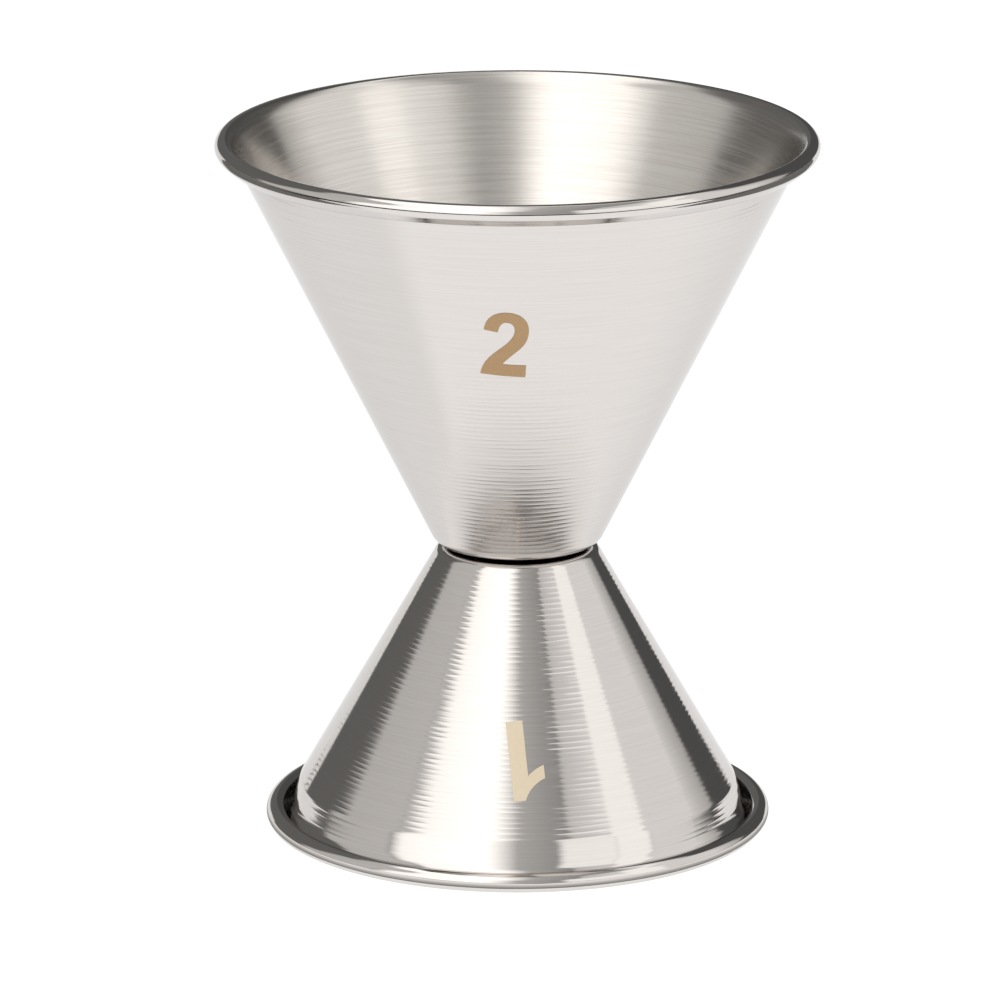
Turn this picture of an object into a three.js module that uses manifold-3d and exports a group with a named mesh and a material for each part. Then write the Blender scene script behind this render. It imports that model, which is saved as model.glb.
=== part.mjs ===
// A double-ended bar jigger: a large and a small spun steel cup, welded base to base.
//
// Millimetres, +Z up. The jigger stands on the small cup's rim, with the large cup open upwards.
// The origin is the centre of the face that it stands on, and the front is towards -Y.

import * as THREE from 'three';
import * as BufferGeometryUtils from 'three/addons/utils/BufferGeometryUtils.js';
import Module from 'manifold-3d';

const wasm = await Module();
wasm.setup();

// ---------------------------------------------------------------- driving dimensions

const SHEET = 0.6; // steel thickness
const SEGMENTS = 72; // facets around the axis, a multiple of four
const WELD_GAP = 0.3; // between the two base discs

// Each cup is drawn base down, rim up. wallLean is the wall's angle from the axis, and
// baseRadius is where the outside of the wall, run straight on, meets the base.
const LARGE_CUP = {
  name: 'large_cup',
  height: 45.25,
  baseRadius: 8.89,
  wallLean: 26.565,
  cornerRadius: 2.0,
  collar: null,
  rimRadius: 32.6, // outside of the rolled bead
  beadRadius: 0.95,
  landWidth: 0.5, // flat worn on the top of the bead
  flareTurn: 25, // how far the wall bends before the bead takes over
  curlEnd: -50, // where the curl stops turning, measured up from the outward direction
  curlTail: 1.0, // straight run of the sheet's edge beyond that
};

const SMALL_CUP = {
  name: 'small_cup',
  height: 31.15,
  baseRadius: 8.63,
  wallLean: 29.86,
  cornerRadius: 1.1,
  collar: { height: 26.55, lean: 18 }, // a crease, then a steeper collar up to the flare
  rimRadius: 27.57,
  beadRadius: 1.05,
  landWidth: 0.6,
  flareTurn: 52,
  curlEnd: -140,
  curlTail: 0,
};

const WELD = { radius: 3.5, waistRadius: 3.2 };

// The marks are a thin skin that follows the wall.
const MARK = { clearance: 0.02, thickness: 0.06, cutDepth: 4, halfHeight: 6, curveSteps: 6 };
const NUMERAL_2 = { name: 'numeral_2', azimuth: -3.3, height: 59.5, turn: -5 };
const NUMERAL_1 = { name: 'numeral_1', azimuth: 2.8, height: 12.45, turn: 184.5 };

// ---------------------------------------------------------------- materials

const polishedSteel = new THREE.MeshStandardMaterial({ color: 0xd3d1ce, roughness: 0.24, metalness: 1 });
const weldedSteel = new THREE.MeshStandardMaterial({ color: 0x77726c, roughness: 0.6, metalness: 1 });
const bronzeMark = new THREE.MeshStandardMaterial({ color: 0xb4936a, roughness: 0.55, metalness: 0.3 });

// ---------------------------------------------------------------- small helpers

const radians = THREE.MathUtils.degToRad;

function fromCentre(centre, radius, angle) {
  const a = radians(angle);
  return new THREE.Vector2(centre.x + radius * Math.cos(a), centre.y + radius * Math.sin(a));
}

function arc(centre, radius, startAngle, endAngle, steps) {
  const points = [];
  for (let i = 0; i <= steps; i += 1) {
    points.push(fromCentre(centre, radius, startAngle + ((endAngle - startAngle) * i) / steps));
  }
  return points;
}

// A straight stretch of wall in the (radius, height) plane, leaning outwards from the axis.
function wallLine(point, lean) {
  const a = radians(lean);
  return {
    point,
    along: new THREE.Vector2(Math.sin(a), Math.cos(a)),
    outward: new THREE.Vector2(Math.cos(a), -Math.sin(a)),
  };
}

function offsetLine(line, distance) {
  return { ...line, point: line.point.clone().addScaledVector(line.outward, distance) };
}

function crossing(lineA, lineB) {
  const between = lineB.point.clone().sub(lineA.point);
  const step = between.dot(lineB.outward) / lineA.along.dot(lineB.outward);
  return lineA.point.clone().addScaledVector(lineA.along, step);
}

function spin(profile) {
  const geometry = new THREE.LatheGeometry(profile, SEGMENTS);
  return geometry.rotateX(Math.PI / 2);
}

// ---------------------------------------------------------------- cups

// One sheet all the way: base disc, rounded corner, cone, flare and a curl rolled outwards.
function cupProfile(cup) {
  const wall = wallLine(new THREE.Vector2(cup.baseRadius, 0), cup.wallLean);
  const lean = radians(cup.wallLean);
  const cornerInset = (cup.cornerRadius * (1 - Math.sin(lean))) / Math.cos(lean);
  const corner = new THREE.Vector2(cup.baseRadius - cornerInset, cup.cornerRadius);

  // The last straight stretch before the flare is the collar, or the wall where there is none.
  let last = wall;
  let lastLean = cup.wallLean;
  const crease = [];
  const innerCrease = [];
  if (cup.collar) {
    const reach = cup.collar.height / Math.cos(lean);
    const creasePoint = wall.point.clone().addScaledVector(wall.along, reach);
    last = wallLine(creasePoint, cup.collar.lean);
    lastLean = cup.collar.lean;
    crease.push(creasePoint);
    innerCrease.push(crossing(offsetLine(wall, -SHEET), offsetLine(last, -SHEET)));
  }

  // The bead is a circle, flattened at the top to the land that the cup rests on.
  const halfLand = cup.landWidth / 2;
  const beadTop = Math.sqrt(cup.beadRadius ** 2 - halfLand ** 2);
  const bead = new THREE.Vector2(cup.rimRadius - cup.beadRadius, cup.height - beadTop);
  const landAngle = THREE.MathUtils.radToDeg(Math.asin(halfLand / cup.beadRadius));

  // The flare is the arc that touches both the inside of the last stretch and the bead.
  const innerLine = offsetLine(last, -SHEET);
  const distance = bead.clone().sub(innerLine.point).dot(last.outward);
  const turn = Math.cos(radians(cup.flareTurn));
  const flareRadius = (distance - cup.beadRadius * turn) / (1 - turn);
  const wallAngle = 180 - lastLean;
  const joinAngle = wallAngle - cup.flareTurn;
  const flare = fromCentre(bead, cup.beadRadius - flareRadius, joinAngle);

  const tail = fromCentre(new THREE.Vector2(), cup.curlTail, cup.curlEnd - 90);
  const tailEnds = [cup.beadRadius - SHEET, cup.beadRadius].map((radius) =>
    fromCentre(bead, radius, cup.curlEnd).add(tail),
  );

  return [
    new THREE.Vector2(0, 0),
    ...arc(corner, cup.cornerRadius, -90, -cup.wallLean, 4),
    ...crease,
    ...arc(flare, flareRadius - SHEET, wallAngle, joinAngle, 4),
    ...arc(bead, cup.beadRadius - SHEET, joinAngle, cup.curlEnd, 6).slice(1),
    ...(cup.curlTail > 0 ? tailEnds : []),
    ...arc(bead, cup.beadRadius, cup.curlEnd, 90 - landAngle, 9),
    ...arc(bead, cup.beadRadius, 90 + landAngle, joinAngle, 1),
    ...arc(flare, flareRadius, joinAngle, wallAngle, 4).slice(1),
    ...innerCrease,
    ...arc(corner, cup.cornerRadius - SHEET, -cup.wallLean, -90, 3),
    new THREE.Vector2(0, SHEET),
  ];
}

function makeCup(cup) {
  const mesh = new THREE.Mesh(spin(cupProfile(cup)), polishedSteel);
  mesh.name = cup.name;
  return mesh;
}

// ---------------------------------------------------------------- weld

// The fused spot between the two base discs, drawn in a little at half its height.
function makeWeld() {
  const profile = [
    new THREE.Vector2(0, 0),
    new THREE.Vector2(WELD.radius, 0),
    new THREE.Vector2(WELD.waistRadius, WELD_GAP / 2),
    new THREE.Vector2(WELD.radius, WELD_GAP),
    new THREE.Vector2(0, WELD_GAP),
  ];
  const mesh = new THREE.Mesh(spin(profile), weldedSteel);
  mesh.name = 'base_weld';
  return mesh;
}

// ---------------------------------------------------------------- marks

// Both numerals are drawn upright, in millimetres, about their own middle.
function outlineOfTwo() {
  const shape = new THREE.Shape();
  shape.moveTo(-2.38, -4.42);
  shape.lineTo(2.42, -4.42);
  shape.lineTo(2.4, -2.8);
  shape.lineTo(-0.12, -2.8);
  shape.bezierCurveTo(0.3, -2.05, 0.95, -1.35, 1.5, -0.67);
  shape.bezierCurveTo(2.15, 0.1, 2.4, 0.9, 2.4, 1.85);
  shape.bezierCurveTo(2.4, 3.4, 1.45, 4.42, 0.05, 4.42);
  shape.bezierCurveTo(-1.4, 4.42, -2.32, 3.4, -2.38, 1.8);
  shape.lineTo(-0.87, 1.6);
  shape.bezierCurveTo(-0.78, 2.6, -0.5, 3.04, 0.02, 3.04);
  shape.bezierCurveTo(0.6, 3.04, 0.88, 2.6, 0.88, 1.85);
  shape.bezierCurveTo(0.88, 1.0, 0.35, 0.3, -0.3, -0.46);
  shape.bezierCurveTo(-1.3, -1.6, -2.25, -2.6, -2.38, -4.42);
  return shape;
}

function outlineOfOne() {
  const shape = new THREE.Shape();
  shape.moveTo(0, -4.4);
  shape.lineTo(1.8, -4.4);
  shape.lineTo(1.8, 4.4);
  shape.lineTo(0.5, 4.4);
  shape.bezierCurveTo(0.2, 3.5, -0.6, 2.6, -1.8, 2.1);
  shape.lineTo(-1.8, 0.65);
  shape.bezierCurveTo(-1.2, 0.85, -0.5, 1.25, 0, 1.75);
  shape.closePath();
  return shape;
}

function toSolid(geometry) {
  geometry.deleteAttribute('normal');
  geometry.deleteAttribute('uv');
  const merged = BufferGeometryUtils.mergeVertices(geometry);
  const vertProperties = new Float32Array(merged.attributes.position.array);
  const triVerts = new Uint32Array(merged.index.array);
  return new wasm.Manifold(new wasm.Mesh({ numProp: 3, vertProperties, triVerts }));
}

function toGeometry(solid) {
  const { vertProperties, triVerts } = solid.getMesh();
  const geometry = new THREE.BufferGeometry();
  geometry.setAttribute('position', new THREE.BufferAttribute(vertProperties, 3));
  geometry.setIndex(new THREE.BufferAttribute(triVerts, 1));
  return geometry;
}

// The mark is the numeral's upright prism, cut by a thin conical skin just outside the wall.
// narrowsUp is 1 where the wall narrows going up, as on the small cup, and -1 where it widens.
function makeMark(numeral, outline, line, narrowsUp) {
  const skinAt = (offset, height) => {
    const shifted = offsetLine(line, offset);
    const step = (height - shifted.point.y) / shifted.along.y;
    return shifted.point.clone().addScaledVector(shifted.along, step);
  };
  const far = MARK.clearance + MARK.thickness;
  const lower = numeral.height - MARK.halfHeight;
  const upper = numeral.height + MARK.halfHeight;
  const skin = [
    skinAt(MARK.clearance, lower),
    skinAt(far, lower),
    skinAt(far, upper),
    skinAt(MARK.clearance, upper),
    skinAt(MARK.clearance, lower),
  ];

  const azimuth = radians(numeral.azimuth);
  const lean = Math.acos(Math.abs(line.along.y));
  const outward = new THREE.Vector3(Math.sin(azimuth), -Math.cos(azimuth), 0);
  const right = new THREE.Vector3(Math.cos(azimuth), Math.sin(azimuth), 0);
  const normal = outward.clone().multiplyScalar(Math.cos(lean));
  normal.z = narrowsUp * Math.sin(lean);
  const up = new THREE.Vector3().crossVectors(normal, right);
  const middle = skinAt(0, numeral.height);
  const place = new THREE.Matrix4().makeBasis(right, up, normal);
  place.setPosition(outward.clone().multiplyScalar(middle.x).setZ(middle.y));

  const prism = new THREE.ExtrudeGeometry(outline, {
    depth: MARK.cutDepth,
    bevelEnabled: false,
    curveSegments: MARK.curveSteps,
  });
  prism.translate(0, 0, -MARK.cutDepth / 2);
  prism.rotateZ(radians(numeral.turn));
  prism.applyMatrix4(place);

  const geometry = toGeometry(toSolid(prism).intersect(toSolid(spin(skin))));
  const mesh = new THREE.Mesh(geometry, bronzeMark);
  mesh.name = numeral.name;
  return mesh;
}

// ---------------------------------------------------------------- assembly

const smallBase = SMALL_CUP.height;
const largeBase = smallBase + WELD_GAP;

const smallCup = makeCup(SMALL_CUP);
smallCup.rotation.x = Math.PI;
smallCup.position.z = smallBase;

const weld = makeWeld();
weld.position.z = smallBase;

const largeCup = makeCup(LARGE_CUP);
largeCup.position.z = largeBase;

const largeWall = wallLine(new THREE.Vector2(LARGE_CUP.baseRadius, largeBase), LARGE_CUP.wallLean);
const smallWall = wallLine(new THREE.Vector2(SMALL_CUP.baseRadius, smallBase), -SMALL_CUP.wallLean);
const markTwo = makeMark(NUMERAL_2, outlineOfTwo(), largeWall, -1);
const markOne = makeMark(NUMERAL_1, outlineOfOne(), smallWall, 1);

const jigger = new THREE.Group();
jigger.name = 'bar_jigger';
jigger.add(smallCup, weld, largeCup, markTwo, markOne);

export default jigger;
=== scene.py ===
"""Looks for the bar jigger: two spun steel cups, the weld between them, and two laser-marked
numerals, in a plain white studio. Metres, +Z up, the front towards -Y."""

import math

import bmesh
import bpy
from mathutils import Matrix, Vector


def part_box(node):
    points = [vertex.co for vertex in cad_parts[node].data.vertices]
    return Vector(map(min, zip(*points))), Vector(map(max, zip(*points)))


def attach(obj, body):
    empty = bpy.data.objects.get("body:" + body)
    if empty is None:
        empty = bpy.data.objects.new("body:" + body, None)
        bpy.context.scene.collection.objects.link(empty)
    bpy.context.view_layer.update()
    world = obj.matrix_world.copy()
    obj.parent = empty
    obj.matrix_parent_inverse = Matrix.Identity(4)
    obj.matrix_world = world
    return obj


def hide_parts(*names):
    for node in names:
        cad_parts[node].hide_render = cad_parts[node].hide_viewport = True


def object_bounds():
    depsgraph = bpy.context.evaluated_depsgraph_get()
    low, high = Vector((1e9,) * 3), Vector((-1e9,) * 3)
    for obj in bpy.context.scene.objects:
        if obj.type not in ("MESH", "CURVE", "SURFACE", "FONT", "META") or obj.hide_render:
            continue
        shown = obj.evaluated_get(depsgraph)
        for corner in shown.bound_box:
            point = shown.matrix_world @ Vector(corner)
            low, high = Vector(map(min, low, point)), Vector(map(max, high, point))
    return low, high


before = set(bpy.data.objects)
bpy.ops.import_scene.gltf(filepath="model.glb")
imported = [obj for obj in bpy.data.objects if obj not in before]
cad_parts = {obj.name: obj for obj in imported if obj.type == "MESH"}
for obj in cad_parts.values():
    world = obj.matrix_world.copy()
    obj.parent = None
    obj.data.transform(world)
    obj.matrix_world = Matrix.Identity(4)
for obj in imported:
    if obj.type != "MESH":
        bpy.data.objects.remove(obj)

frame_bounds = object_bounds()

MM = 0.001
LARGE_LOW, LARGE_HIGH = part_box("large_cup")
SMALL_LOW, SMALL_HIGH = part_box("small_cup")
WELD_LOW, WELD_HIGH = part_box("base_weld")

# ------------------------------------------------------------------ sizes, in metres and degrees

SHEET = 0.6 * MM
SEGMENTS = 288  # around the axis
WALL_STEP = 1.0 * MM  # longest stretch of straight wall between two rows
SUPPORT = 0.08 * MM  # row next to each bend, so that shading stays true on the straight walls
ARC_STEP = 4.0  # degrees between rows on a bend
TOUCHING = 1e-8  # points nearer to each other than this are the same point

LARGE_CUP = {
    "height": LARGE_HIGH.z - LARGE_LOW.z,
    "base_radius": 8.89 * MM,
    "wall_lean": 26.565,
    "corner_radius": 2.0 * MM,
    "collar": None,
    "rim_radius": LARGE_HIGH.x,
    "bead_radius": 0.95 * MM,
    "land_width": 0.5 * MM,
    "flare_turn": 25.0,
    "curl_end": -50.0,
    "curl_tail": 1.0 * MM,
}
SMALL_CUP = {
    "height": SMALL_HIGH.z - SMALL_LOW.z,
    "base_radius": 8.63 * MM,
    "wall_lean": 29.86,
    "corner_radius": 1.1 * MM,
    "collar": {"height": 26.55 * MM, "lean": 18.0, "fillet": 0.3 * MM},
    "rim_radius": SMALL_HIGH.x,
    "bead_radius": 1.05 * MM,
    "land_width": 0.6 * MM,
    "flare_turn": 52.0,
    "curl_end": -140.0,
    "curl_tail": 0.0,
}

# The weld nugget narrows to a hollow waist: the place, radius and half angle of its arc, the
# first two as shares of the nugget's height.
WELD_WAIST = {"beyond_side": 1 / 4, "radius": 1 / 2.2, "half_turn": 70}

MARK_LIFT = 0.01 * MM  # underside of a mark above the wall
MARK_SKIN = 0.02 * MM  # thickness
MARK_EDGE = 0.16 * MM  # width of the darker border
MARK_STRIP = 0.4 * MM  # widest flat strip of a mark, so that it follows the wall
CURVE_STEPS = 14  # points on each curve of a numeral
SETTLE_ROUNDS = 6  # steps that bring a point of a mark down onto the wall
NUMERAL_2 = {"azimuth": -3.3, "height": 59.5 * MM, "turn": -5.0}
NUMERAL_1 = {"azimuth": 2.8, "height": 12.45 * MM, "turn": 184.5}

# ------------------------------------------------------------------ profiles


def at_angle(centre, radius, degrees):
    """The point on a circle at one angle, anticlockwise from the outward direction."""
    turn = math.radians(degrees)
    return Vector((centre[0] + radius * math.cos(turn), centre[1] + radius * math.sin(turn)))


def arc(centre, radius, start, end):
    steps = max(2, math.ceil(abs(end - start) / ARC_STEP))
    return [at_angle(centre, radius, start + (end - start) * i / steps) for i in range(steps + 1)]


def straight(start, end):
    """Rows between two bends, both ends left out."""
    length = (end - start).length
    if length < 4 * SUPPORT:
        return []
    steps = max(1, math.ceil(length / WALL_STEP))
    inner = [start.lerp(end, i / steps) for i in range(1, steps)]
    return [start.lerp(end, SUPPORT / length), *inner, end.lerp(start, SUPPORT / length)]


def wall_line(point, lean):
    """A straight stretch of wall in the (radius, height) plane, leaning outwards from the axis."""
    turn = math.radians(lean)
    along = Vector((math.sin(turn), math.cos(turn)))
    outward = Vector((math.cos(turn), -math.sin(turn)))
    return {"point": point, "along": along, "outward": outward}


def offset_line(line, distance):
    """The same line, moved outwards."""
    return {**line, "point": line["point"] + line["outward"] * distance}


def crossing(first, second):
    """The point where two stretches of wall meet."""
    between = second["point"] - first["point"]
    step = between.dot(second["outward"]) / first["along"].dot(second["outward"])
    return first["point"] + first["along"] * step


def crease_arc(corner, radius, lean_below, lean_above):
    """The bend where the wall turns up into the collar, about a centre on the inner side."""
    half = math.radians((lean_below - lean_above) / 2)
    middle = math.radians((lean_below + lean_above) / 2)
    inward = Vector((-math.cos(middle), math.sin(middle)))
    centre = corner + inward * (radius / math.cos(half))
    return arc(centre, radius, -lean_below, -lean_above)


def cup_profile(cup):
    """Stretches of (points, finish) in the (radius, height) plane, base down, from the middle of
    the base's outside, round the rim, to the middle of its inside."""
    lean = cup["wall_lean"]
    wall = wall_line(Vector((cup["base_radius"], 0.0)), lean)
    radius = cup["corner_radius"]
    inset = radius * (1 - math.sin(math.radians(lean))) / math.cos(math.radians(lean))
    corner = Vector((cup["base_radius"] - inset, radius))

    last, last_lean = wall, lean
    crease, inner_crease = [], []
    if cup["collar"]:
        reach = cup["collar"]["height"] / math.cos(math.radians(lean))
        last_lean = cup["collar"]["lean"]
        bend = wall["point"] + wall["along"] * reach
        last = wall_line(bend, last_lean)
        inner_bend = crossing(offset_line(wall, -SHEET), offset_line(last, -SHEET))
        fillet = cup["collar"]["fillet"]
        crease = crease_arc(bend, fillet + SHEET, lean, last_lean)
        inner_crease = crease_arc(inner_bend, fillet, lean, last_lean)[::-1]

    half_land = cup["land_width"] / 2
    bead_radius = cup["bead_radius"]
    bead_top = math.sqrt(bead_radius**2 - half_land**2)
    bead = Vector((cup["rim_radius"] - bead_radius, cup["height"] - bead_top))
    land_angle = math.degrees(math.asin(half_land / bead_radius))

    inner_line = offset_line(last, -SHEET)
    distance = (bead - inner_line["point"]).dot(last["outward"])
    turn = math.cos(math.radians(cup["flare_turn"]))
    flare_radius = (distance - bead_radius * turn) / (1 - turn)
    wall_angle = 180 - last_lean
    join_angle = wall_angle - cup["flare_turn"]
    flare = at_angle(bead, bead_radius - flare_radius, join_angle)

    outer_corner = arc(corner, radius, -90, -lean)
    outer_flare = arc(flare, flare_radius - SHEET, wall_angle, join_angle)
    hollow = arc(bead, bead_radius - SHEET, join_angle, cup["curl_end"])
    curl = arc(bead, bead_radius, cup["curl_end"], 90 - land_angle)
    if cup["curl_tail"] > 0:
        tail = at_angle((0.0, 0.0), cup["curl_tail"], cup["curl_end"] - 90)
        hollow = hollow + [hollow[-1] + tail]
        curl = [curl[0] + tail] + straight(curl[0] + tail, curl[0]) + curl
    curl_back = arc(bead, bead_radius, 90 + land_angle, join_angle)
    inner_flare = arc(flare, flare_radius, join_angle, wall_angle)
    inner_corner = arc(corner, radius - SHEET, -lean, -90)
    outer_middle = Vector((0.0, 0.0))
    inner_middle = Vector((0.0, SHEET))

    def walls(*bends):
        """The bends in order, with straight rows between one and the next."""
        points = list(bends[0])
        for bend in bends[1:]:
            points += straight(points[-1], bend[0]) + list(bend)
        return points

    outer_bends = [b for b in (outer_corner, crease, outer_flare) if b]
    inner_bends = [b for b in (inner_flare, inner_crease, inner_corner) if b]
    return [
        (walls([outer_middle], *outer_bends), "outside"),
        (hollow, "inside"),
        (curl + curl_back, "outside"),
        (walls(*inner_bends, [inner_middle]), "inside"),
    ]


def weld_profile(radius, height):
    """The nugget from the middle of its lower face, round its waist, to the middle of its
    upper face."""
    centre = (radius + height * WELD_WAIST["beyond_side"], height / 2)
    half_turn = WELD_WAIST["half_turn"]
    waist = arc(centre, height * WELD_WAIST["radius"], half_turn - 180, -half_turn - 180)
    lower = [Vector((0.0, 0.0)), Vector((radius, 0.0))]
    upper = [Vector((radius, height)), Vector((0.0, height))]
    return [(lower + waist + upper, "weld")]


# ------------------------------------------------------------------ meshes


def mesh_object(name, bm, materials):
    mesh = bpy.data.meshes.new(name)
    bm.to_mesh(mesh)
    bm.free()
    for material in materials:
        mesh.materials.append(material)
    piece = bpy.data.objects.new(name, mesh)
    bpy.context.scene.collection.objects.link(piece)
    return piece


def lathe(name, stretches, finishes, materials, base, upward):
    """Spins a closed profile about Z. The 'brush' attribute holds the cosine and sine of the
    turn and the run along the profile, for the circular tool marks."""
    bm = bmesh.new()
    brush = bm.verts.layers.float_vector.new("brush")
    rows = []
    run = 0.0
    before = None
    for points, finish in stretches:
        for point in points:
            if before is not None:
                step = (point - before).length
                if step < TOUCHING:
                    rows[-1][2] = finish  # the next stretch starts at the last one's end
                    continue
                run += step
            rows.append([point, run, finish])
            before = point

    rings = []
    for point, run, _ in rows:
        height = base + upward * point[1]
        if point[0] < TOUCHING:
            vert = bm.verts.new((0.0, 0.0, height))
            vert[brush] = (0.0, 0.0, run)
            rings.append([vert] * SEGMENTS)
            continue
        ring = []
        for i in range(SEGMENTS):
            turn = 2 * math.pi * i / SEGMENTS
            across, along = math.cos(turn), math.sin(turn)
            vert = bm.verts.new((point[0] * across, point[0] * along, height))
            vert[brush] = (across, along, run)
            ring.append(vert)
        rings.append(ring)

    for (lower, upper), row in zip(zip(rings, rings[1:]), rows[1:]):
        for i in range(SEGMENTS):
            j = (i + 1) % SEGMENTS
            corners = dict.fromkeys([lower[i], lower[j], upper[j], upper[i]])
            face = bm.faces.new(list(corners))
            face.smooth = True
            face.material_index = finishes.index(row[2])
    bmesh.ops.recalc_face_normals(bm, faces=bm.faces)
    return mesh_object(name, bm, materials)


def bezier(start, first, second, end):
    """Points along a cubic curve, its start left out."""
    points = []
    for i in range(1, CURVE_STEPS + 1):
        t = i / CURVE_STEPS
        s = 1 - t
        x = s**3 * start[0] + 3 * s * s * t * first[0] + 3 * s * t * t * second[0] + t**3 * end[0]
        y = s**3 * start[1] + 3 * s * s * t * first[1] + 3 * s * t * t * second[1] + t**3 * end[1]
        points.append((x, y))
    return points


def outline(start, *moves):
    """A closed outline in millimetres: each move is a straight line's end or a curve's 3 points."""
    points = [start]
    for move in moves:
        points += [move] if len(move) == 2 else bezier(points[-1], *move)
    if math.dist(points[0], points[-1]) < TOUCHING:
        points.pop()
    return points


OUTLINE_2 = outline(
    (-2.38, -4.42),
    (2.42, -4.42),
    (2.4, -2.8),
    (-0.12, -2.8),
    ((0.3, -2.05), (0.95, -1.35), (1.5, -0.67)),
    ((2.15, 0.1), (2.4, 0.9), (2.4, 1.85)),
    ((2.4, 3.4), (1.45, 4.42), (0.05, 4.42)),
    ((-1.4, 4.42), (-2.32, 3.4), (-2.38, 1.8)),
    (-0.87, 1.6),
    ((-0.78, 2.6), (-0.5, 3.04), (0.02, 3.04)),
    ((0.6, 3.04), (0.88, 2.6), (0.88, 1.85)),
    ((0.88, 1.0), (0.35, 0.3), (-0.3, -0.46)),
    ((-1.3, -1.6), (-2.25, -2.6), (-2.38, -4.42)),
)
OUTLINE_1 = outline(
    (0.0, -4.4),
    (1.8, -4.4),
    (1.8, 4.4),
    (0.5, 4.4),
    ((0.2, 3.5), (-0.6, 2.6), (-1.8, 2.1)),
    (-1.8, 0.65),
    ((-1.2, 0.85), (-0.5, 1.25), (0.0, 1.75)),
)


def mark(name, shape, numeral, material, base, cup, upward):
    """A thin closed skin in the numeral's outline that follows the cup's wall. The 'inset'
    attribute is 0 on its outline and 1 inside the darker border."""
    lean = math.radians(cup["wall_lean"])
    turn = math.radians(numeral["azimuth"])
    across = Vector((math.cos(turn), math.sin(turn), 0.0))
    outward = Vector((math.sin(turn), -math.cos(turn), 0.0))
    normal = outward * math.cos(lean) - Vector((0.0, 0.0, upward * math.sin(lean)))
    up = normal.cross(across)

    def wall_radius(height):
        return cup["base_radius"] + upward * (height - base) * math.tan(lean)

    def wall_normal(point):
        radial = Vector((point.x, point.y, 0.0)).normalized()
        return radial * math.cos(lean) - Vector((0.0, 0.0, upward * math.sin(lean)))

    bm = bmesh.new()
    inset = bm.verts.layers.float.new("inset")
    bm.faces.new([bm.verts.new((x * MM, y * MM, 0.0)) for x, y in shape])
    bmesh.ops.inset_region(
        bm, faces=bm.faces[:], thickness=MARK_EDGE, use_boundary=True, use_even_offset=True
    )
    rim = {vert for edge in bm.edges if edge.is_boundary for vert in edge.verts}
    for vert in bm.verts:
        vert[inset] = 0.0 if vert in rim else 1.0
    widest = max(abs(vert.co.x) for vert in bm.verts)
    cuts = math.ceil(widest / MARK_STRIP)
    for i in range(-cuts, cuts + 1):
        everything = bm.verts[:] + bm.edges[:] + bm.faces[:]
        place = (i * MARK_STRIP, 0.0, 0.0)
        bmesh.ops.bisect_plane(bm, geom=everything, plane_co=place, plane_no=(1.0, 0.0, 0.0))
    bmesh.ops.triangulate(bm, faces=bm.faces[:])

    spin = math.radians(numeral["turn"])
    middle = outward * wall_radius(numeral["height"])
    middle.z = numeral["height"]
    for vert in bm.verts:
        x = vert.co.x * math.cos(spin) - vert.co.y * math.sin(spin)
        y = vert.co.x * math.sin(spin) + vert.co.y * math.cos(spin)
        point = middle + across * x + up * y
        for _ in range(SETTLE_ROUNDS):
            gap = math.hypot(point.x, point.y) - wall_radius(point.z)
            point -= normal * gap * math.cos(lean)
        vert.co = point + wall_normal(point) * MARK_LIFT
    raised = bmesh.ops.extrude_face_region(bm, geom=bm.faces[:], use_keep_orig=True)["geom"]
    for item in raised:
        if isinstance(item, bmesh.types.BMVert):
            item.co += wall_normal(item.co) * MARK_SKIN
    bmesh.ops.recalc_face_normals(bm, faces=bm.faces)
    return mesh_object(name, bm, [material])


# ------------------------------------------------------------------ material helpers


def new_material(name):
    material = bpy.data.materials.new(name)
    material.use_nodes = True
    tree = material.node_tree
    shader = tree.nodes["Principled BSDF"]
    return material, tree, shader


def node(tree, kind, inputs=None, **settings):
    """A new node, its inputs linked to sockets or set to plain values."""
    made = tree.nodes.new(kind)
    for key, value in settings.items():
        setattr(made, key, value)
    for key, value in (inputs or {}).items():
        if isinstance(value, bpy.types.NodeSocket):
            tree.links.new(value, made.inputs[key])
        else:
            made.inputs[key].default_value = value
    return made


def math_node(tree, operation, *values):
    inputs = dict(enumerate(values))
    return node(tree, "ShaderNodeMath", inputs, operation=operation).outputs[0]


def remap(tree, value, before, after):
    """The value moved smoothly from one (low, high) range to another, and kept inside it."""
    inputs = {"Value": value}
    inputs.update({"From Min": before[0], "From Max": before[1]})
    inputs.update({"To Min": after[0], "To Max": after[1]})
    made = node(tree, "ShaderNodeMapRange", inputs, interpolation_type="SMOOTHSTEP")
    return made.outputs["Result"]


def tinted(tree, amount, low, high):
    """Colour that runs from `low` to `high` as the amount goes from 0 to 1."""
    made = node(tree, "ShaderNodeValToRGB", {"Fac": amount})
    for element, colour in zip(made.color_ramp.elements, (low, high)):
        element.color = (*colour, 1.0)
    return made.outputs["Color"]


def brush_vector(tree):
    return node(tree, "ShaderNodeAttribute", attribute_name="brush").outputs["Vector"]


def brush_noise(tree, around, pitch, detail=2.0):
    """Noise drawn out around the axis: `around` sets how fast it changes round the cup, and
    `pitch` is the distance between one mark and the next along the profile."""
    stretch = {0: brush_vector(tree), 1: (around, around, 1 / pitch)}
    vector = node(tree, "ShaderNodeVectorMath", stretch, operation="MULTIPLY").outputs[0]
    inputs = {"Vector": vector, "Scale": 1.0, "Detail": detail, "Roughness": 0.55}
    return node(tree, "ShaderNodeTexNoise", inputs).outputs["Fac"]


def speckle_noise(tree, scale, detail):
    """Fine even noise, its scale in features to the metre."""
    place = node(tree, "ShaderNodeTexCoord").outputs["Object"]
    inputs = {"Vector": place, "Scale": scale, "Detail": detail}
    return node(tree, "ShaderNodeTexNoise", inputs).outputs["Fac"]


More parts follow.
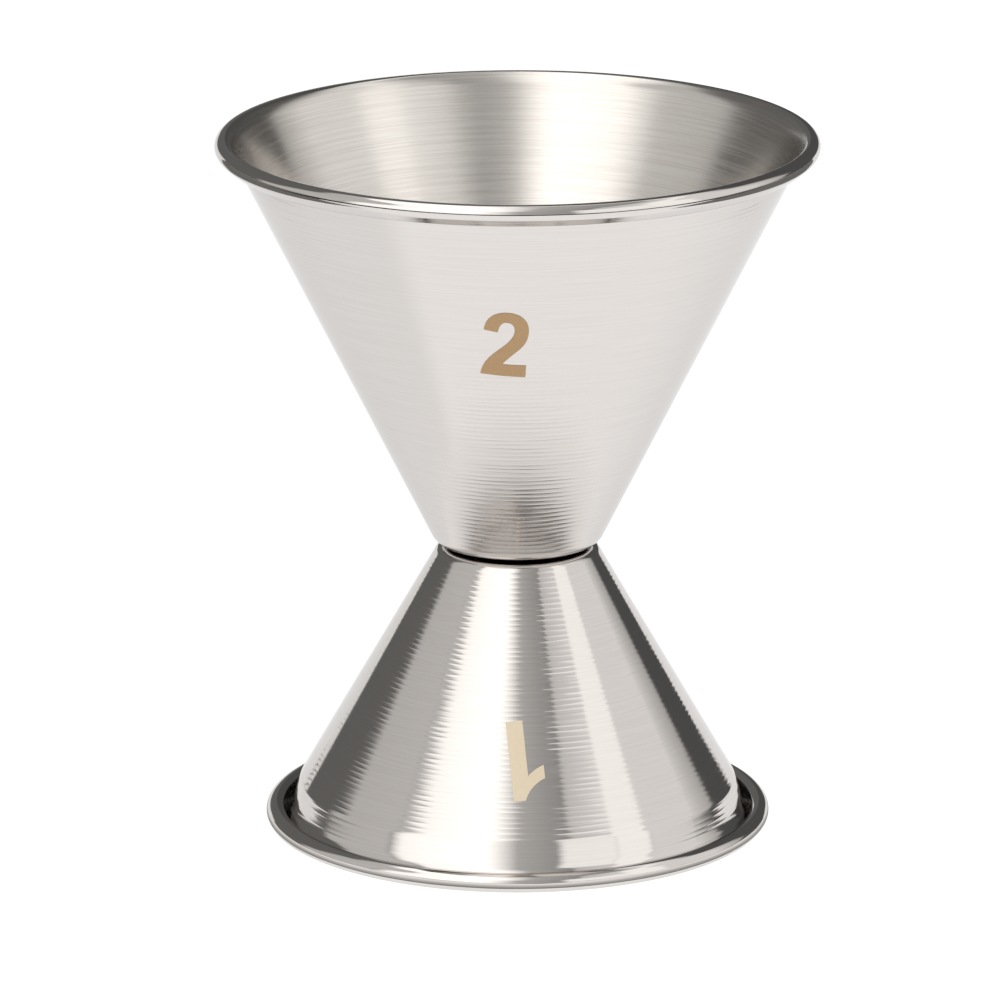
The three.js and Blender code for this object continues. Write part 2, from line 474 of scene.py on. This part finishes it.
def add_bump(tree, shader, height, depth, strength=1.0):
    inputs = {"Height": height, "Strength": strength, "Distance": depth}
    normal = node(tree, "ShaderNodeBump", inputs).outputs["Normal"]
    tree.links.new(normal, shader.inputs["Normal"])


# ------------------------------------------------------------------ materials

# Most of a noise's values lie inside these ranges: they set how much of it is fully low or high.
STREAK_RANGE = (0.35, 0.65)
HAIRLINE_RANGE = (0.32, 0.68)
SPECKLE_RANGE = (0.3, 0.7)
FULL = (0.0, 1.0)

SPIN_PITCH = 0.59 * MM  # from one spinning roller mark to the next
SPIN_WANDER = 5.0  # radians that a roller mark strays from its place
SPIN_HEIGHT = (0.2, 0.65)  # lowest and highest roller marks, as shares of the bump's depth
GROOVE_SHARPNESS = 2.2  # above 1, the marks are narrow grooves with smooth steel between them
SPIN_WOBBLE = {"around": 1.2, "pitch": 2.5 * SPIN_PITCH}
SPIN_CHANGE = {"around": 1.8, "pitch": 2.0 * MM}

BUMP_DEPTH = 0.01 * MM
GRAIN_PITCH = 0.05 * MM
HAIRLINE_PITCH = 0.16 * MM
STEEL_EDGE = (0.85, 0.85, 0.85, 1.0)  # steel reflects a little less at a glancing angle
ANISOTROPY = 0.6
QUARTER_TURN = 0.25  # stretches the highlights across the circular marks

POLISHED = {
    "dull": (0.652, 0.621, 0.6),
    "bright": (0.678, 0.648, 0.628),
    "hairlines": {"around": 2.2, "pitch": HAIRLINE_PITCH, "detail": 4.0},
    "roughness": (0.06, 0.12),
    "streaks": {"around": 3.0, "pitch": 0.3 * MM},
    "roller_marks": True,
    "uneven": {"around": 1.6, "pitch": 1.3 * SPIN_PITCH, "detail": 3.0},
    "uneven_height": 0.8,
    "grain": {"around": 7.0, "pitch": GRAIN_PITCH},
    "grain_height": 0.05,
}
SATIN = {
    "dull": (0.655, 0.623, 0.588),
    "bright": (0.725, 0.695, 0.662),
    "hairlines": {"around": 1.8, "pitch": HAIRLINE_PITCH, "detail": 4.0},
    "roughness": (0.2, 0.27),
    "streaks": {"around": 3.0, "pitch": 0.25 * MM},
    "roller_marks": False,
    "uneven": {"around": 1.4, "pitch": 0.8 * MM, "detail": 3.0},
    "uneven_height": 0.5,
    "grain": {"around": 5.0, "pitch": GRAIN_PITCH},
    "grain_height": 0.12,
}

WELD_COLOUR = (0.2, 0.17, 0.15, 1.0)
WELD_ROUGHNESS = (0.45, 0.75)
WELD_SPECKLES = {"scale": 900.0, "detail": 4.0}
WELD_PITTING = 0.05 * MM

BRONZE = {"tone": (0.43, 0.285, 0.155), "edge": (0.33, 0.2, 0.11), "metallic": 0.6}
# The small cup's numeral: tan oxide with its inner tone lightened into a painted sheen of the key
# light above; its edge keeps the oxide's own colour.
SHEEN_PAINTED_TAN = {"tone": (0.72, 0.615, 0.455), "edge": (0.3, 0.21, 0.13), "metallic": 0.25}
MARK_BORDER = (0.15, 0.95)  # of the 'inset' attribute, from the border's colour to the inner one
MARK_ROUGHNESS = (0.45, 0.65)
MARK_SPECKLES = {"scale": 5000.0, "detail": 3.0}
MARK_FROSTING = 0.6  # strength of the speckles' relief


def roller_marks(tree):
    """Height of the spinning grooves: sharp rings at an even pitch that wander and vary."""
    run = node(tree, "ShaderNodeSeparateXYZ", {0: brush_vector(tree)}).outputs["Z"]
    phase = math_node(tree, "MULTIPLY", run, 2 * math.pi / SPIN_PITCH)
    wobble = brush_noise(tree, **SPIN_WOBBLE)
    phase = math_node(tree, "MULTIPLY_ADD", wobble, SPIN_WANDER, phase)
    rings = math_node(tree, "MULTIPLY_ADD", math_node(tree, "SINE", phase), 0.5, 0.5)
    rings = math_node(tree, "POWER", rings, GROOVE_SHARPNESS)
    height = remap(tree, brush_noise(tree, **SPIN_CHANGE), STREAK_RANGE, SPIN_HEIGHT)
    return math_node(tree, "MULTIPLY", rings, height)


def spun_steel(name, look):
    """Steel whose tint, gloss and relief all run in fine circles round the axis."""
    material, tree, shader = new_material(name)
    amount = remap(tree, brush_noise(tree, **look["hairlines"]), HAIRLINE_RANGE, FULL)
    tree.links.new(tinted(tree, amount, look["dull"], look["bright"]), shader.inputs["Base Color"])
    streaks = brush_noise(tree, **look["streaks"])
    roughness = remap(tree, streaks, STREAK_RANGE, look["roughness"])
    tree.links.new(roughness, shader.inputs["Roughness"])
    tangent = node(tree, "ShaderNodeTangent", direction_type="RADIAL", axis="Z").outputs["Tangent"]
    tree.links.new(tangent, shader.inputs["Tangent"])

    marks = roller_marks(tree) if look["roller_marks"] else 0.0
    uneven = brush_noise(tree, **look["uneven"])
    grain = brush_noise(tree, **look["grain"])
    height = math_node(tree, "MULTIPLY_ADD", uneven, look["uneven_height"], marks)
    height = math_node(tree, "MULTIPLY_ADD", grain, look["grain_height"], height)
    add_bump(tree, shader, height, BUMP_DEPTH)

    shader.inputs["Specular Tint"].default_value = STEEL_EDGE
    shader.inputs["Metallic"].default_value = 1.0
    shader.inputs["Anisotropic"].default_value = ANISOTROPY
    shader.inputs["Anisotropic Rotation"].default_value = QUARTER_TURN
    return material


def weld_steel():
    """Dull, pitted metal with a little heat tint."""
    material, tree, shader = new_material("weld_steel")
    speckle = speckle_noise(tree, **WELD_SPECKLES)
    tree.links.new(remap(tree, speckle, SPECKLE_RANGE, WELD_ROUGHNESS), shader.inputs["Roughness"])
    add_bump(tree, shader, speckle, WELD_PITTING)
    shader.inputs["Base Color"].default_value = WELD_COLOUR
    shader.inputs["Metallic"].default_value = 1.0
    return material


def laser_mark(name, look):
    """Matte oxide with a thin darker edge."""
    material, tree, shader = new_material(name)
    inset = node(tree, "ShaderNodeAttribute", attribute_name="inset").outputs["Fac"]
    inner = remap(tree, inset, MARK_BORDER, FULL)
    tree.links.new(tinted(tree, inner, look["edge"], look["tone"]), shader.inputs["Base Color"])
    speckle = speckle_noise(tree, **MARK_SPECKLES)
    tree.links.new(remap(tree, speckle, SPECKLE_RANGE, MARK_ROUGHNESS), shader.inputs["Roughness"])
    add_bump(tree, shader, speckle, BUMP_DEPTH, strength=MARK_FROSTING)
    shader.inputs["Metallic"].default_value = look["metallic"]
    return material


# ------------------------------------------------------------------ the jigger's pieces

finishes = ["outside", "inside"]
steels = [spun_steel("polished_steel", POLISHED), spun_steel("satin_steel", SATIN)]
small_cup = lathe("small_cup_spun", cup_profile(SMALL_CUP), finishes, steels, SMALL_HIGH.z, -1)
large_cup = lathe("large_cup_spun", cup_profile(LARGE_CUP), finishes, steels, LARGE_LOW.z, 1)

nugget = weld_profile(WELD_HIGH.x, WELD_HIGH.z - WELD_LOW.z)
base_weld = lathe("base_weld_nugget", nugget, ["weld"], [weld_steel()], WELD_LOW.z, 1)

bronze = laser_mark("bronze_mark", BRONZE)
# The small cup's numeral gets the tan oxide lightened with a painted sheen of the key light.
sheen_painted = laser_mark("sheen_painted_mark", SHEEN_PAINTED_TAN)
numeral_2 = mark("numeral_2_mark", OUTLINE_2, NUMERAL_2, bronze, LARGE_LOW.z, LARGE_CUP, 1)
numeral_1 = mark("numeral_1_mark", OUTLINE_1, NUMERAL_1, sheen_painted, SMALL_HIGH.z, SMALL_CUP, -1)

for piece, cad_node, slot in (
    (small_cup, "small_cup", "cup_steel"),
    (large_cup, "large_cup", "cup_steel"),
    (base_weld, "base_weld", "weld"),
    (numeral_2, "numeral_2", "mark"),
    (numeral_1, "numeral_1", "mark"),
):
    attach(piece, "root")
    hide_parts(cad_node)

# ------------------------------------------------------------------ studio

DOME_RADIUS = 3.0
DOME_STEP = 1.0  # degrees
BLACK = (0.0, 0.0, 0.0, 1.0)
WHITE = (1.0, 1.0, 1.0, 1.0)
STUDIO_TINT = (1.0, 0.99, 0.968, 1.0)

# Softboxes and grey cards round the object, by their bearing from the front, right positive:
# from and to, softness of each end, radiance at each end, elevation of the top.
UNBROKEN = 100.0  # the card has no top, and runs on overhead
CARDS = {
    "left_wall": ((-109, -64), (4, 4), (0.46, 0.52), UNBROKEN),
    "key_softbox": ((-63, -2), (6, 16), (1.3, 1.75), UNBROKEN),
    "front_wall": ((-8, 31), (12, 3), (0.52, 0.24), UNBROKEN),
    "right_scrim": ((31, 56), (3, 3), (0.58, 0.8), UNBROKEN),
    "right_softbox_low": ((25, 58), (4, 4), (1.1, 1.15), 37),
    "right_softbox": ((54, 77), (4, 4), (1.2, 1.2), UNBROKEN),
    "right_wall": ((74, 108), (4, 4), (0.85, 0.85), UNBROKEN),
    "right_corner": ((104, 121.5), (4, 2.5), (0.85, 0.4), UNBROKEN),
}
TOP_SOFTNESS = 1.5
CARD_FOOT = (-1.0, 6.0)  # elevations over which the cards fade in above the floor
LEAN_IN = (45.0, 70.0)  # elevations over which the cards lean in overhead
OVERHEAD_SPAN = 0.743  # sideways part of an overhead direction that counts as a bearing of 90
EDGE_SLANT = 1.0  # degrees of bearing to one degree of elevation, along each card's edges
SLANT_REACH = 3.5  # elevation above and below an edge's middle that it slants over
EDGE_MIDDLE = 44.0  # elevation of the middle of an edge straight in front
EDGE_DROP = 0.0023  # how much lower it is at the sides, by the square of the bearing
AMBIENT = (0.16, 0.1)  # radiance between the cards, far left and far right
# The white backdrop behind the object: the bearings that it starts at, the elevation of its top,
# how much lower that is for each degree to the right, and how soft its edges are.
BACKDROP = {"left": -143.0, "right": 148.0, "top": 3.5, "tilt": 0.0103, "soft": 0.9}

# The light table is a little dimmer to the left and the back right: bearings that it fades over,
# and the radiance at each.
LEFT_FADE, LEFT_LEVEL = (-68.0, -50.0), (0.87, 0.99)
RIGHT_FADE, RIGHT_LEVEL = (70.0, 140.0), (0.99, 0.92)
TABLE_RADIUS = 1.01 * DOME_RADIUS
TABLE_SEGMENTS = 96
TABLE_GREY = (0.2, 0.2, 0.2, 1.0)

# The table's shade close round the rim: the radiance far from it, how much is lost at the rim,
# and the distance over which most of that comes back.
SHADOW = {
    "near": SMALL_CUP["rim_radius"] + 0.2 * MM,
    "far": 40.0 * MM,
    "rings": 14,
    "level": 1.1,
    "depth": 0.85,
    "reach": 2.6 * MM,
    "lift": 0.05 * MM,
}

# Felt on the table: the right-hand sheet's corners, and the front one's arc in degrees.
FLAG_LIFT = 0.5 * MM
FLAG_SHEET = 1.0 * MM
SIDE_FLAG = [(0.102, -0.065), (2.8, -0.3), (1.6, 2.29), (0.102, 0.146)]
SIDE_FLAG_LEVEL = 0.2  # radiance of the grey felt
FRONT_FLAG = {"near": 0.43, "far": 2.9, "half_turn": 104, "step": 8}
FRONT_FLAG_LEVEL = 0.0  # black


def smooth(low, high, value):
    t = min(1.0, max(0.0, (value - low) / (high - low)))
    return t * t * (3 - 2 * t)


def past(edge, softness, value):
    """0 before the edge and 1 past it, smooth between."""
    return smooth(edge - softness, edge + softness, value)


def slanted(edge, elevation):
    """Bearing of a card's edge at one elevation. Its middle is lower down at the sides than in
    front."""
    middle = EDGE_MIDDLE - EDGE_DROP * edge**2
    return edge + EDGE_SLANT * min(SLANT_REACH, max(-SLANT_REACH, elevation - middle))


def backdrop_level(azimuth, elevation):
    soft = BACKDROP["soft"]
    to_left = 1 - past(BACKDROP["left"], soft, azimuth)
    to_right = past(BACKDROP["right"], soft, azimuth)
    top = BACKDROP["top"] - BACKDROP["tilt"] * azimuth
    return max(to_left, to_right) * (1 - past(top, soft, elevation))


def card_bearing(azimuth, elevation):
    """The bearing that a direction has among the cards. High up, they run on over the object as
    two softboxes with the front wall's grey between them."""
    side = math.sin(math.radians(azimuth)) * math.cos(math.radians(elevation))
    overhead = math.degrees(math.asin(max(-1.0, min(1.0, side / OVERHEAD_SPAN))))
    lean = smooth(*LEAN_IN, elevation)
    return azimuth * (1 - lean) + overhead * lean


def card_level(card, bearing, elevation):
    (start, end), (soft_start, soft_end), (level_start, level_end), card_top = card
    first, last = slanted(start, elevation), slanted(end, elevation)
    rise = past(first, soft_start, bearing)
    fall = 1 - past(last, soft_end, bearing)
    below = 1 - past(card_top, TOP_SOFTNESS, elevation)
    across = min(1.0, max(0.0, (bearing - first) / (last - first)))
    return (level_start + (level_end - level_start) * across) * rise * fall * below


def radiance(azimuth, elevation):
    """Brightness of the studio in one direction."""
    bearing = card_bearing(azimuth, elevation)
    brightest = max(card_level(card, bearing, elevation) for card in CARDS.values())
    ambient = AMBIENT[0] + (AMBIENT[1] - AMBIENT[0]) * smooth(-90.0, 90.0, azimuth)
    cards = ambient + brightest * smooth(*CARD_FOOT, elevation)
    return max(backdrop_level(azimuth, elevation), cards)


def unlit(shader, base, emission):
    """A surface with a brightness of its own and no gloss."""
    shader.inputs["Base Color"].default_value = base
    shader.inputs["Specular IOR Level"].default_value = 0.0
    shader.inputs["Emission Color"].default_value = emission


def glowing(name):
    """A surface as bright as its 'glow' attribute says."""
    material, tree, shader = new_material(name)
    level = node(tree, "ShaderNodeAttribute", attribute_name="glow").outputs["Fac"]
    tree.links.new(level, shader.inputs["Emission Strength"])
    unlit(shader, BLACK, STUDIO_TINT)
    return material


def reflected_only(thing):
    """Hides a thing from the camera, so that it shows only in the steel."""
    thing.visible_camera = False
    thing.visible_diffuse = False
    thing.visible_shadow = False


def make_dome():
    """A half sphere over the table that carries the cards and the backdrop."""
    bm = bmesh.new()
    glow = bm.verts.layers.float.new("glow")
    columns = round(360 / DOME_STEP)
    rows = round(90 / DOME_STEP)
    rings = []
    for j in range(rows):
        elevation = j * DOME_STEP
        ring = []
        for i in range(columns):
            azimuth = i * DOME_STEP - 180
            turn, rise = math.radians(azimuth), math.radians(elevation)
            flat = DOME_RADIUS * math.cos(rise)
            height = DOME_RADIUS * math.sin(rise)
            vert = bm.verts.new((flat * math.sin(turn), -flat * math.cos(turn), height))
            vert[glow] = radiance(azimuth, elevation)
            ring.append(vert)
        rings.append(ring)
    top = bm.verts.new((0.0, 0.0, DOME_RADIUS))
    top[glow] = radiance(0.0, 90.0)
    rings.append([top] * columns)
    for lower, upper in zip(rings, rings[1:]):
        for i in range(columns):
            j = (i + 1) % columns
            corners = dict.fromkeys([lower[j], lower[i], upper[i], upper[j]])
            bm.faces.new(list(corners))
    return mesh_object("studio_dome", bm, [glowing("studio_cards")])


def make_floor():
    """The light table, whose glow depends on the bearing from the object."""
    bm = bmesh.new()
    bmesh.ops.create_circle(bm, cap_ends=True, radius=TABLE_RADIUS, segments=TABLE_SEGMENTS)
    material, tree, shader = new_material("light_table")
    unlit(shader, TABLE_GREY, WHITE)
    shader.inputs["Roughness"].default_value = 1.0
    place = node(tree, "ShaderNodeTexCoord").outputs["Object"]
    across = node(tree, "ShaderNodeSeparateXYZ", {0: place})
    frontward = math_node(tree, "MULTIPLY", across.outputs["Y"], -1.0)
    bearing = math_node(tree, "ARCTAN2", across.outputs["X"], frontward)
    left = remap(tree, bearing, [math.radians(b) for b in LEFT_FADE], LEFT_LEVEL)
    right = remap(tree, bearing, [math.radians(b) for b in RIGHT_FADE], RIGHT_LEVEL)
    level = math_node(tree, "MINIMUM", left, right)
    tree.links.new(level, shader.inputs["Emission Strength"])
    floor = mesh_object("studio_floor", bm, [material])
    floor.location.z = frame_bounds[0].z
    return floor


def make_flag(name, corners, level):
    """A sheet of felt just above the light table, seen only in the steel."""
    bm = bmesh.new()
    bm.faces.new([bm.verts.new((x, y, 0.0)) for x, y in corners])
    bmesh.ops.solidify(bm, geom=bm.faces[:], thickness=FLAG_SHEET)
    bmesh.ops.recalc_face_normals(bm, faces=bm.faces)
    material, _, shader = new_material(name + "_felt")
    unlit(shader, BLACK, STUDIO_TINT)
    shader.inputs["Emission Strength"].default_value = level
    flag = mesh_object(name, bm, [material])
    flag.location.z = frame_bounds[0].z + FLAG_LIFT + FLAG_SHEET
    reflected_only(flag)
    return flag


def side_flag(name, side):
    return make_flag(name, [(side * x, y) for x, y in SIDE_FLAG], SIDE_FLAG_LEVEL)


def front_flag(name):
    half_turn = FRONT_FLAG["half_turn"]
    turns = [math.radians(t) for t in range(-half_turn, half_turn + 1, FRONT_FLAG["step"])]
    rays = [Vector((math.sin(turn), -math.cos(turn))) for turn in turns]
    near = [ray * FRONT_FLAG["near"] for ray in rays]
    far = [ray * FRONT_FLAG["far"] for ray in rays[::-1]]
    return make_flag(name, near + far, FRONT_FLAG_LEVEL)


def contact_shadow():
    """The light table's fall-off close round the rim, seen only in the steel."""
    bm = bmesh.new()
    glow = bm.verts.layers.float.new("glow")
    near, far = SHADOW["near"], SHADOW["far"]
    rings = []
    for i in range(SHADOW["rings"] + 1):
        radius = near + (far - near) * (i / SHADOW["rings"]) ** 2
        lost = SHADOW["depth"] * math.exp((near - radius) / SHADOW["reach"])
        ring = []
        for j in range(SEGMENTS):
            turn = 2 * math.pi * j / SEGMENTS
            vert = bm.verts.new((radius * math.cos(turn), radius * math.sin(turn), 0.0))
            vert[glow] = SHADOW["level"] - lost
            ring.append(vert)
        rings.append(ring)
    for inner, outer in zip(rings, rings[1:]):
        for j in range(SEGMENTS):
            k = (j + 1) % SEGMENTS
            bm.faces.new([inner[j], outer[j], outer[k], inner[k]])
    shadow = mesh_object("contact_shadow", bm, [glowing("shaded_table")])
    shadow.location.z = frame_bounds[0].z + SHADOW["lift"]
    reflected_only(shadow)
    return shadow


make_dome()
make_floor()
contact_shadow()
side_flag("left_flag", -1)
side_flag("right_flag", 1)
front_flag("front_flag")

world = bpy.data.worlds.new("studio_world")
world.use_nodes = True
world.node_tree.nodes["Background"].inputs["Color"].default_value = BLACK
bpy.context.scene.world = world
bpy.context.scene.view_settings.view_transform = "Standard"

# ------------------------------------------------------------------ camera

CAMERA_ELEVATION = 15.75  # degrees
CAMERA_DISTANCE = 0.8972
CAMERA_AIM = 35.89 * MM  # height of the point that the camera is aimed at
SENSOR_WIDTH = 36.0  # millimetres
LENS_RATIO = 8.24694  # focal length to the sensor's width
FRAME_SHIFT = (-0.0176, 0.0012)  # in frame widths
NEAREST, FARTHEST = 0.05, 20.0  # distances that the camera sees between

camera_data = bpy.data.cameras.new("camera")
camera_data.sensor_width = SENSOR_WIDTH
camera_data.lens = SENSOR_WIDTH * LENS_RATIO
camera_data.shift_x, camera_data.shift_y = FRAME_SHIFT
camera_data.clip_start = NEAREST
camera_data.clip_end = FARTHEST
camera = bpy.data.objects.new("camera", camera_data)
bpy.context.scene.collection.objects.link(camera)
rise = math.radians(CAMERA_ELEVATION)
back = Vector((0.0, -math.cos(rise), math.sin(rise)))
camera.location = Vector((0.0, 0.0, CAMERA_AIM)) + back * CAMERA_DISTANCE
camera.rotation_euler = (math.pi / 2 - rise, 0.0, 0.0)
bpy.context.scene.camera = camera
